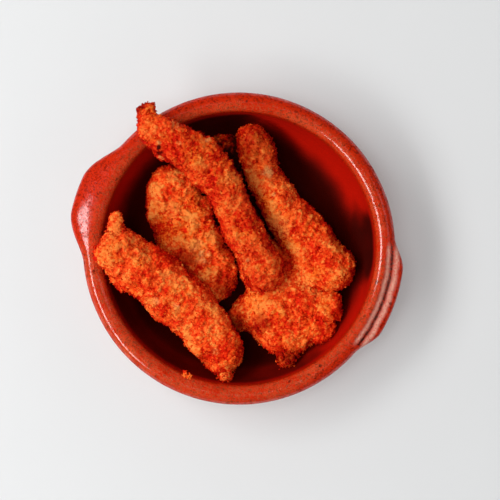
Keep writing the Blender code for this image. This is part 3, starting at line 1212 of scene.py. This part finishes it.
@dataclass
class Tender:
    """A breaded strip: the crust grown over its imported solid, and the crumbs that stand on it."""

    node: str
    seed: int
    finish: CrumbCoat = CrumbCoat()
    patches: tuple[Patch, ...] = ()
    clods: tuple[Clod, ...] = ()
    voxel: float = 0.5
    smoothing: int = 30
    sunk: float = 0.65
    # How much grain height, knobs, clumps and facing up add to the crest value, which paints light
    # on tops and shade in dips.
    crest_light_shares: tuple[float, ...] = (0.5, 0.15, 0.2, 0.3)
    # Painted shade laid over the whole strip, added to the burnt value.
    overall_shade: float = 0.0
    lump_size: float = 9.5
    lump_height: float = 1.0
    clump_size: float = 4.2
    clump_height: float = 0.7
    fine_size: float = 1.1
    fine_height: float = 0.14
    grains: GrainSize = GrainSize(1.2, (0.5, 1.1), (0.35, 0.9))
    knobs: GrainSize = GrainSize(8.0, (1.2, 2.4), (0.4, 1.1))
    tone_sizes: Span = (3.4, 8.16)
    tone_shares: Span = (0.32, 0.4)
    tone_middle: float = 0.59
    tone_scatter: float = 0.17
    flank_shade: float = 0.4
    neighbours: int = 6
    grain_stretch: float = 0.45
    gold_size: float = 11.0
    gold_share: float = 0.32
    crumb_skew: Span = (1.3, 2.6)
    clod_sizes: Span = (0.5, 1.2)
    seat: float = 0.5
    pile: float = 1.6

    def core(self, solid: bpy.types.Object) -> bpy.types.Object:
        """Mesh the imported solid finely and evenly, with its facets smoothed away.

        Args:
            solid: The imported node.

        Returns:
            A new object with the fine mesh.
        """
        rough = show("core", solid.data.copy())
        remesh = rough.modifiers.new("even", "REMESH")
        remesh.mode = "VOXEL"
        remesh.voxel_size = self.voxel * MM
        smooth = rough.modifiers.new("soften", "SMOOTH")
        smooth.factor = 0.5
        smooth.iterations = self.smoothing
        graph = bpy.context.evaluated_depsgraph_get()
        mesh = bpy.data.meshes.new_from_object(rough.evaluated_get(graph))
        bpy.data.objects.remove(rough)
        mesh.name = self.node + "_crust"
        mesh.materials.clear()
        return show(mesh.name, mesh)

    def tones(
        self, places: np.ndarray, ways: np.ndarray, rng: np.random.Generator
    ) -> np.ndarray:
        """Draw how bright grains or crumbs are: alike where they lie close, and redder on the
        flanks as painted shade.

        Args:
            places: Where they lie.
            ways: The way out of the surface there.
            rng: Where the random draws come from.

        Returns:
            A value from 0 to 1 for each.
        """
        flank = 1.0 - ease(-0.1, 0.85, ways[:, 2])
        tone = self.tone_middle - self.flank_shade * flank
        for step, (size, share) in enumerate(zip(self.tone_sizes, self.tone_shares)):
            tone = tone + share * soft_noise(places, size, self.seed + 5 + step)
        return np.clip(tone + rng.normal(0.0, self.tone_scatter, len(places)), 0.0, 1.0)

    def raise_grains(
        self, points: np.ndarray, normals: np.ndarray, size: GrainSize, rng: np.random.Generator
    ) -> tuple[np.ndarray, np.ndarray]:
        """Work out the domes of grains that sit side by side in the crust.

        Args:
            points: The crust's corners.
            normals: The way out of the crust at each.
            size: How many grains there are, and how large.
            rng: Where the random draws come from.

        Returns:
            How high the grains stand at each corner, and the tone of the grain there.
        """
        count = int(len(points) * self.voxel**2 / size.area)
        pick = rng.choice(len(points), count, replace=False)
        centres = points[pick] + rng.normal(0.0, 0.15, (count, 3))
        radius = rng.uniform(*size.radius, count)
        height = rng.uniform(*size.height, count)
        tone = self.tones(centres, normals[pick], rng)
        long_way = unit(rng.normal(size=(count, 3)))
        tree = kdtree.KDTree(count)
        for index, centre in enumerate(centres):
            tree.insert(centre, index)
        tree.balance()
        near = np.array([[hit[1] for hit in tree.find_n(p, self.neighbours)] for p in points])
        offset = points[:, None] - centres[near]
        along = (offset * long_way[near]).sum(axis=2)
        apart = (offset**2).sum(axis=2) - self.grain_stretch * along**2
        domes = height[near] * np.sqrt(np.clip(1.0 - apart / radius[near] ** 2, 0.0, 1.0))
        top = domes.argmax(axis=1)
        rows = np.arange(len(points))
        return domes[rows, top], tone[near[rows, top]]

    def tints(self, points: np.ndarray) -> dict[str, np.ndarray]:
        """Work out where the crust is golden or bare, where it is burnt, and where painted shade
        darkens it.

        Args:
            points: The corners.

        Returns:
            A value from 0 to 1 for each corner under each tint's name.
        """
        fray = 0.3 * soft_noise(points, 3.0, self.seed + 7)
        fray += 0.25 * soft_noise(points, 1.3, self.seed)
        found = {tint.value: np.zeros(len(points)) for tint in Tint}
        cloud = soft_noise(points, self.gold_size, self.seed + 9)
        found[Tint.GOLD.value] += self.gold_share * ease(0.0, 0.8, cloud)
        # The strip's overall painted shade.
        found[Tint.BURNT_AND_SHADE.value] += self.overall_shade
        for patch in self.patches:
            apart = np.hypot(points[:, 0] - patch.x, points[:, 1] - patch.y) / patch.radius
            shown = patch.tone * (1.0 - ease(0.35, 1.15, apart + fray))
            name = patch.tint.value
            found[name] = np.maximum(found[name], shown)
        return found

    def grow_crust(self, piece: bpy.types.Object, rng: np.random.Generator) -> None:
        """Raise the clumps and grains on the fine mesh.

        Args:
            piece: The fine mesh of the solid.
            rng: Where the random draws come from.
        """
        points, normals = read_mesh(piece.data)
        grains, tone = self.raise_grains(points, normals, self.grains, rng)
        knobs, _ = self.raise_grains(points, normals, self.knobs, rng)
        clumps = 1.0 - 2.0 * np.abs(soft_noise(points, self.clump_size, self.seed + 1)) ** 0.8
        fine = soft_noise(points, self.fine_size, self.seed + 2)
        lumps = soft_noise(points, self.lump_size, self.seed + 3)
        lift = self.lump_height * lumps + self.clump_height * clumps + self.fine_height * fine
        lift += grains + knobs - self.sunk
        # Painted light on the tops of grains, knobs and clumps and on faces that look up; painted
        # shade in the dips.
        clumped, top_light = ease(-0.8, 1.0, clumps + lumps), ease(-0.2, 0.9, normals[:, 2])
        parts = (grains / self.grains.height[1], knobs, clumped, top_light)
        crest = sum(share * part for share, part in zip(self.crest_light_shares, parts))
        values = self.tints(points)
        values["crest"] = np.clip(crest, 0.0, 1.0)
        values["grain"] = tone
        move_corners(piece.data, points + normals * lift[:, None])
        note(piece, values)

    def stick_crumbs(self, piece: bpy.types.Object, rng: np.random.Generator) -> bpy.types.Object:
        """Stand crumbs of two cuts on the crust.

        Args:
            piece: The crust.
            rng: Where the random draws come from.

        Returns:
            The crumbs as one joined piece.
        """
        points, normals = read_mesh(piece.data)
        area = len(points) * self.voxel**2
        crumbs = Crumbs()
        for chip in (Chip.coarse(), Chip.fine()):
            pick = rng.choice(len(points), int(area / chip.area), replace=False)
            share = rng.beta(*self.crumb_skew, len(pick))
            sizes = chip.size[0] + (chip.size[1] - chip.size[0]) * share
            ways = normals[pick]
            places = points[pick] + ways * (self.seat * sizes)[:, None]
            crumbs.scatter(chip, places, ways, sizes, self.tones(places, ways, rng), rng)
        for clod in self.clods:
            near = np.hypot(points[:, 0] - clod.x, points[:, 1] - clod.y) < clod.radius
            pick = rng.choice(np.flatnonzero(near & (normals[:, 2] > 0.0)), clod.count)
            sizes = clod.size * rng.uniform(*self.clod_sizes, clod.count)
            ways = normals[pick]
            places = points[pick] + ways * rng.uniform(0.0, self.pile, (clod.count, 1))
            tones = self.tones(places, ways, rng)
            crumbs.scatter(Chip.coarse(), places, ways, sizes, tones, rng)
        standing, corners = crumbs.make(self.node + "_crumbs")
        note(standing, self.tints(corners))
        return standing

    def build(self, solids: dict[str, bpy.types.Object], effects: Effects) -> None:
        """Grow the crust, stick the crumbs on it, and dress both.

        Args:
            solids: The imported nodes.
            effects: The shared node groups.
        """
        rng = np.random.default_rng(self.seed)
        crust = self.core(solids[self.node])
        self.grow_crust(crust, rng)
        crust.data.shade_smooth()
        crumbs = self.stick_crumbs(crust, rng)
        coat = self.finish.material(self.node + "_coat", effects)
        for piece in (crust, crumbs):
            piece.data.materials.append(coat)
        settle(crust, self.node)
        settle(crumbs)


@dataclass(frozen=True)
class Spill:
    """A few crumbs that stick together where they fell, on the rim."""

    place: tuple[float, float, float] = (-4.0, -79.2, 39.8)
    spread: tuple[float, float, float] = (1.5, 0.65, 0.35)
    count: int = 44
    sizes: Span = (0.6, 1.2)
    tones: Span = (0.2, 0.8)
    gold: float = 0.45
    seed: int = 107
    finish: CrumbCoat = CrumbCoat()

    def build(self, effects: Effects) -> None:
        """Drop the crumbs and dress them.

        Args:
            effects: The shared node groups.
        """
        rng = np.random.default_rng(self.seed)
        places = rng.normal(0.0, 1.0, (self.count, 3)) * np.array(self.spread)
        places = np.array(self.place) + places
        ways = np.tile((0.0, 0.0, 1.0), (self.count, 1))
        sizes = rng.uniform(*self.sizes, self.count)
        tones = rng.uniform(*self.tones, self.count)
        crumbs = Crumbs()
        crumbs.scatter(Chip.coarse(), places, ways, sizes, tones, rng)
        piece, corners = crumbs.make("rim_crumbs")
        note(piece, {Tint.GOLD.value: np.full(len(corners), self.gold)})
        piece.data.materials.append(self.finish.material("spilled_crumbs", effects))
        settle(piece)


@dataclass(frozen=True)
class Lamp:
    """A soft light panel that looks at the dish.

    Attributes:
        name: Its name.
        bearing: The side that it stands on, in degrees from +X.
        rise: How high it stands over the table, in degrees.
        distance: How far away it is.
        width: How wide it is.
        height: How tall it is.
        power: Its power in watts.
        reach: Which surfaces it shows on.
    """

    name: str
    bearing: float
    rise: float
    distance: float
    width: float
    height: float
    power: float
    reach: Reach = Reach.MATT

    def hang(self) -> None:
        """Hang the light and point it at the dish."""
        light = bpy.data.lights.new(self.name, "AREA")
        light.shape = "RECTANGLE"
        light.size = self.width * MM
        light.size_y = self.height * MM
        light.energy = self.power
        lamp = show(self.name, light)
        turn, rise = math.radians(self.bearing), math.radians(self.rise)
        level = math.cos(rise)
        away = Vector((level * math.cos(turn), level * math.sin(turn), math.sin(rise)))
        lamp.location = away * self.distance * MM
        lamp.rotation_euler = away.to_track_quat("Z", "Y").to_euler()
        lamp.visible_camera = False
        lamp.visible_glossy = self.reach is not Reach.MATT
        lamp.visible_diffuse = self.reach is not Reach.GLOSS


@dataclass
class Studio:
    """The camera straight above the dish, the pale floor and the soft lights."""

    turn: float = 19.5
    aside: float = 6.4
    ahead: float = -0.9
    camera_height: float = 1040.0
    lens: float = 125.4
    sensor: float = 36.0
    far: float = 100.0
    floor_half_width: float = 4000.0
    floor: PaleFloor = PaleFloor()
    backdrop: Colour = (0.8, 0.8, 0.8)
    horizon: Colour = (0.75, 0.75, 0.75)
    zenith: Colour = (0.03, 0.03, 0.03)
    sheen: Colour = (0.02, 0.02, 0.02)
    horizon_at: float = 0.42
    zenith_at: float = 0.66
    world_strength: float = 2.5
    lamps: tuple[Lamp, ...] = (
        Lamp("key", 223.5, 49.0, 1400.0, 950.0, 440.0, power=10.4),
        Lamp("window", 175.0, 49.0, 1400.0, 700.0, 440.0, power=8.4),
        Lamp("overhead", 200.0, 84.0, 1400.0, 500.0, 500.0, power=4.4),
        Lamp("side_fill", 20.0, 40.0, 1300.0, 900.0, 500.0, power=0.5),
        Lamp("glint", 217.0, 45.0, 1400.0, 1240.0, 340.0, power=17.0, reach=Reach.GLOSS),
        Lamp("right_glint", 25.0, 50.0, 1400.0, 700.0, 500.0, power=1.0, reach=Reach.GLOSS),
    )

    def place_camera(self) -> None:
        """Put the camera above the dish, turned as the photograph is."""
        camera = show("camera", bpy.data.cameras.new("camera"))
        camera.data.sensor_width = self.sensor
        camera.data.lens = self.lens
        turn = math.radians(self.turn)
        right = Vector((math.cos(turn), math.sin(turn), 0.0))
        up = Vector((-math.sin(turn), math.cos(turn), 0.0))
        above = Vector((0.0, 0.0, self.camera_height))
        camera.location = (right * self.aside + up * self.ahead + above) * MM
        camera.rotation_euler = (0.0, 0.0, turn)
        camera.data.clip_end = self.far
        bpy.context.scene.camera = camera

    def lay_floor(self, effects: Effects) -> None:
        """Lay the floor that the dish stands on.

        Args:
            effects: The shared node groups.
        """
        corners = np.array([(-1.0, -1.0, 0.0), (1.0, -1.0, 0.0), (1.0, 1.0, 0.0), (-1.0, 1.0, 0.0)])
        floor = make_piece("floor", self.floor_half_width * corners, [(0, 1, 2, 3)])
        floor.data.materials.append(self.floor.material(effects))

    def light_world(self) -> None:
        """Light the dish from low all round, with a dim room in its gloss and a pale backdrop."""
        world = bpy.data.worlds.new("room")
        world.use_nodes = True
        wiring = Wiring(world.node_tree)
        shader = world.node_tree.nodes["Background"]
        way = wiring.add("SeparateXYZ")
        wiring.feed(way.inputs[0], wiring.add("TexCoord").outputs["Generated"])
        wiring.feed(shader.inputs["Strength"], self.world_strength)
        horizon, zenith, sheen, backdrop = (
            tuple(part / self.world_strength for part in colour)
            for colour in (self.horizon, self.zenith, self.sheen, self.backdrop)
        )
        stops = ((self.horizon_at, horizon), (self.zenith_at, zenith))
        room = wiring.ramp(way.outputs["Z"], stops)
        rays = wiring.add("LightPath").outputs
        room = wiring.blend(rays["Is Glossy Ray"], room, sheen)
        wiring.feed(shader.inputs["Color"], wiring.blend(rays["Is Camera Ray"], room, backdrop))
        bpy.context.scene.world = world

    def build(self, effects: Effects) -> None:
        """Set up the whole studio.

        Args:
            effects: The shared node groups.
        """
        self.place_camera()
        self.lay_floor(effects)
        self.light_world()
        for lamp in self.lamps:
            lamp.hang()
        bpy.context.scene.view_settings.view_transform = "Standard"
        LOG.info("studio: %d lamps", len(self.lamps))


TENDERS = (
    Tender(
        "tender_left",
        seed=101,
        patches=(
            *spots(
                Tint.GOLD,
                (-67.0, -28.9, 6.0, 0.4), (-51.4, -27.0, 3.5, 0.9), (-42.4, -34.8, 4.0, 0.5),
                (-26.8, -34.1, 3.0, 0.8),
            ),
            *spots(
                Tint.BARE,
                (-34.9, -43.7, 2.5, 0.6), (-22.5, -43.6, 2.2, 0.6), (7.3, -60.4, 2.5, 0.4),
            ),
            *spots(
                Tint.BURNT_AND_SHADE,
                (-66.0, -22.0, 14.0, 0.12), (-54.7, -23.9, 1.6, 0.35), (-57.8, -36.0, 3.0, 0.2),
            ),
        ),
        clods=(Clod(16.5, -72.5, 5.0, 60, 0.6), Clod(-70.0, -12.0, 6.0, 40, 0.7)),
    ),
    Tender(
        "tender_short",
        seed=102,
        patches=(
            *spots(
                Tint.GOLD,
                (-36.0, 4.0, 17.0, 0.6), (-44.0, 6.0, 10.0, 1.0),
            ),
            # The bare patch at (-44, 8) is painted light on the strip's top.
            *spots(
                Tint.BARE,
                (-44.0, 8.0, 7.0, 0.15), (-18.2, -10.9, 5.0, 0.9), (-24.0, -6.5, 4.0, 0.6),
            ),
            # These burnt patches are painted shade on the strip's flanks and low end.
            *spots(
                Tint.BURNT_AND_SHADE,
                (-5.0, 0.0, 9.0, 0.25), (-29.0, -18.0, 10.0, 0.35), (-29.0, 19.0, 7.0, 0.25),
                (-2.0, -22.0, 8.0, 0.3),
            ),
        ),
    ),
    Tender(
        "tender_top",
        seed=103,
        # Painted shade over this whole strip.
        overall_shade=0.14,
        patches=(
            *spots(
                Tint.GOLD,
                (-40.1, 41.5, 5.0, 0.7), (-28.0, 34.8, 4.0, 0.6), (-2.7, 9.7, 5.0, 0.8),
                (14.2, -6.2, 3.0, 0.8),
            ),
            *spots(
                Tint.BARE,
                (-57.5, 54.2, 2.6, 0.6), (-51.6, 44.7, 1.8, 0.6), (-37.3, 52.3, 1.6, 0.6),
                (-62.5, 40.9, 1.6, 0.9), (-58.5, 35.0, 1.6, 0.9), (7.0, -4.5, 1.6, 0.7),
            ),
            # The last four patches, from (-23.3, 50.5) on, are painted shade along the strip's
            # right side.
            *spots(
                Tint.BURNT_AND_SHADE,
                (-61.6, 38.9, 1.5, 0.8), (-59.6, 37.0, 1.3, 0.7), (-61.0, 36.2, 1.2, 0.7),
                (-79.8, 57.3, 5.0, 0.5), (-23.3, 50.5, 7.0, 0.3), (-14.5, 41.4, 7.0, 0.3),
                (-5.6, 30.0, 7.0, 0.3), (-21.4, 29.9, 4.0, 0.25),
            ),
        ),
    ),
    Tender(
        "tender_right",
        seed=104,
        patches=(
            # The first three gold patches and the first bare patch are painted light on the left
            # flank, which the top strip shades.
            *spots(
                Tint.GOLD,
                (15.7, 18.7, 10.0, 1.0), (6.0, 32.0, 7.0, 0.9), (24.0, 13.0, 7.0, 0.8),
                (29.7, 12.7, 4.0, 0.9), (45.8, -1.7, 4.0, 0.9),
            ),
            *spots(
                Tint.BARE,
                (16.0, 19.0, 9.0, 0.25), (1.0, 47.3, 3.5, 0.9), (8.7, 36.0, 1.6, 0.7),
            ),
            # These burnt patches are painted shade on the strip's upper end.
            *spots(
                Tint.BURNT_AND_SHADE,
                (-10.4, 62.4, 16.0, 0.4), (3.0, 52.0, 12.0, 0.3),
            ),
        ),
    ),
    Tender(
        "tender_under",
        seed=105,
        patches=(
            *spots(
                Tint.GOLD,
                (19.7, -26.2, 8.0, 0.9), (34.0, -28.5, 3.2, 0.9), (39.7, -34.4, 3.2, 0.9),
                (57.5, -14.1, 5.0, 0.6), (41.5, -41.0, 3.2, 0.9),
            ),
            *spots(
                Tint.BURNT_AND_SHADE,
                (49.3, -51.1, 8.0, 0.5), (14.2, -41.5, 5.0, 0.35), (27.0, -37.0, 7.0, 0.35),
                # The last two patches are painted shade on the strip's far end, which lies under
                # the other strips.
                (-17.3, 50.8, 20.0, 0.85), (-6.1, 32.0, 16.0, 0.9),
            ),
        ),
        clods=(
            Clod(49.3, -52.5, 7.0, 150, 0.75),
            Clod(14.2, -41.5, 5.0, 50, 0.6),
            Clod(29.5, -48.0, 2.0, 14, 0.5),
        ),
    ),
)


def main() -> None:
    """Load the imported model, set up the studio, and build the dish and the strips."""
    logging.basicConfig(level=logging.INFO, format="%(name)s: %(message)s")
    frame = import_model()
    effects = Effects()
    Studio().build(effects)
    Dish().build(effects)
    Spill().build(effects)
    for tender in TENDERS:
        tender.build(frame["nodes"], effects)


if __name__ == "__main__":
    main()
